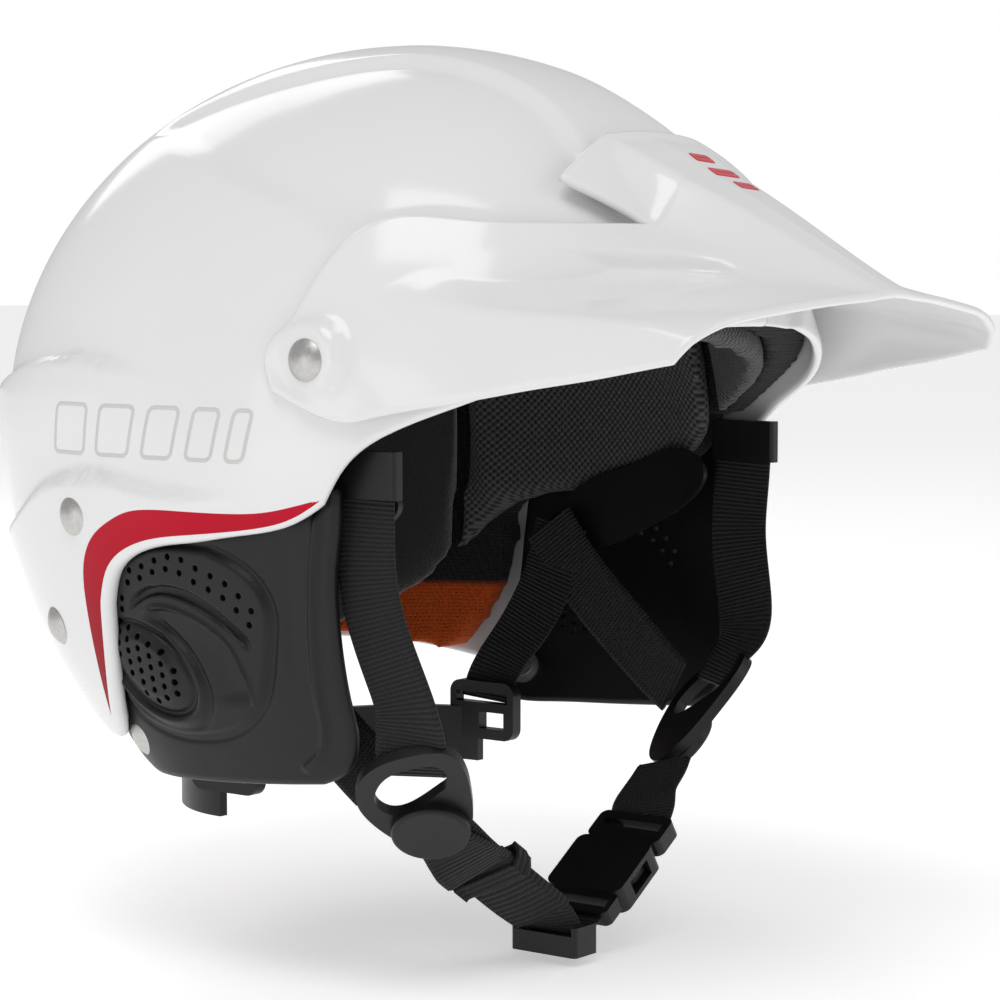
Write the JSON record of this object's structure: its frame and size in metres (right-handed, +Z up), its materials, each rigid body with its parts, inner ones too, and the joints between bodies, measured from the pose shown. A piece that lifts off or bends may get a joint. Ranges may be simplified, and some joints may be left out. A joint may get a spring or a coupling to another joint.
{
  "type": "water helmet",
  "caption": "Whitewater helmet with a gloss hard shell, tilting visor, rubber ear guards, foam liner, fabric pads and an adjustable webbing chin harness.",
  "frame": {"origin": "Midpoint of the visor's pivot axis, between the temples.", "axes": "+Z up when worn, the wearer faces -Y, the wearer's left is +X. The pivot axis runs along X."},
  "size_m": [0.229, 0.2915, 0.2646],
  "materials": {
    "shell_white": "injection moulded, high gloss, with a crimson stripe",
    "visor_white": "injection moulded, high gloss",
    "guard_black": "moulded matte rubber",
    "foam_black": "closed-cell foam, fine cell texture",
    "pad_mesh": "knitted mesh over foam, piped edges",
    "pad_fleece": "brushed fleece over foam",
    "webbing_black": "woven ribbed webbing",
    "sleeve_black": "tubular knitted sleeve and elastic",
    "fitting_black": "moulded acetal, satin",
    "rivet_steel": "satin stainless",
    "washer_nylon": "natural nylon"
  },
  "bodies": {
    "helmet": {"outer_shell": "shell_white", "visor_washers": "washer_nylon", "visor_rivets": "rivet_steel", "harness_rivets": "rivet_steel", "guard_rivets": "rivet_steel", "rivet_backings": "rivet_steel", "impact_liner": "foam_black", "brow_pad": "pad_mesh", "right_side_pad": "pad_mesh", "left_side_pad": "pad_mesh", "rear_pad": "pad_fleece", "crown_pad": "pad_fleece", "right_ear_guard": "guard_black", "left_ear_guard": "guard_black", "right_harness_plate": "fitting_black", "left_harness_plate": "fitting_black", "right_strap_anchor": "fitting_black", "left_strap_anchor": "fitting_black", "right_front_strap": "webbing_black", "left_front_strap": "webbing_black", "right_rear_strap": "webbing_black", "left_rear_strap": "webbing_black"},
    "visor": {"visor": "visor_white"},
    "chin_harness": {"right_side_ring": "fitting_black", "left_side_ring": "fitting_black", "right_ring_cap": "fitting_black", "left_ring_cap": "fitting_black", "right_chin_strap": "sleeve_black", "left_chin_strap": "webbing_black", "strap_lock": "fitting_black", "buckle_socket": "fitting_black"},
    "keeper": {"strap_keeper": "sleeve_black"},
    "buckle_clip": {"buckle_clip": "fitting_black"},
    "front_prong": {"buckle_front_prong": "fitting_black"},
    "rear_prong": {"buckle_rear_prong": "fitting_black"},
    "nape_cradle": {"nape_cradle": "fitting_black"}
  },
  "joints": [
    {"name": "visor_tilt", "type": "hinge", "parent": "helmet", "child": "visor", "pos_m": [0, 0, 0], "axis": [1, 0, 0], "range_deg": [-3, 6]},
    {"name": "chin_adjust", "type": "slide", "parent": "helmet", "child": "chin_harness", "axis": [0, 0, -1], "range_m": [-0.002, 0.006]},
    {"name": "cradle_pull", "type": "slide", "parent": "helmet", "child": "nape_cradle", "axis": [0, -0.94, 0.3412], "range_m": [-0.0016, 0.0048]},
    {"name": "keeper_slide", "type": "slide", "parent": "chin_harness", "child": "keeper", "axis": [0.7919, -0.129, -0.5969], "range_m": [-0.006, 0.012]},
    {"name": "buckle_release", "type": "slide", "parent": "chin_harness", "child": "buckle_clip", "axis": [0.8412, 0, 0.5408], "range_m": [0, 0.015]},
    {"name": "front_prong_squeeze", "type": "hinge", "parent": "buckle_clip", "child": "front_prong", "pos_m": [0.01941, -0.0237, -0.14809], "axis": [0.5408, 0, -0.8412], "range_deg": [0, 8]},
    {"name": "rear_prong_squeeze", "type": "hinge", "parent": "buckle_clip", "child": "rear_prong", "pos_m": [0.01941, -0.0073, -0.14809], "axis": [0.5408, 0, -0.8412], "range_deg": [-8, 0]}
  ],
  "couplings": [
    {"joint": "cradle_pull", "follows": "chin_adjust", "ratio": 0.8},
    {"joint": "rear_prong_squeeze", "follows": "front_prong_squeeze", "ratio": -1}
  ]
}
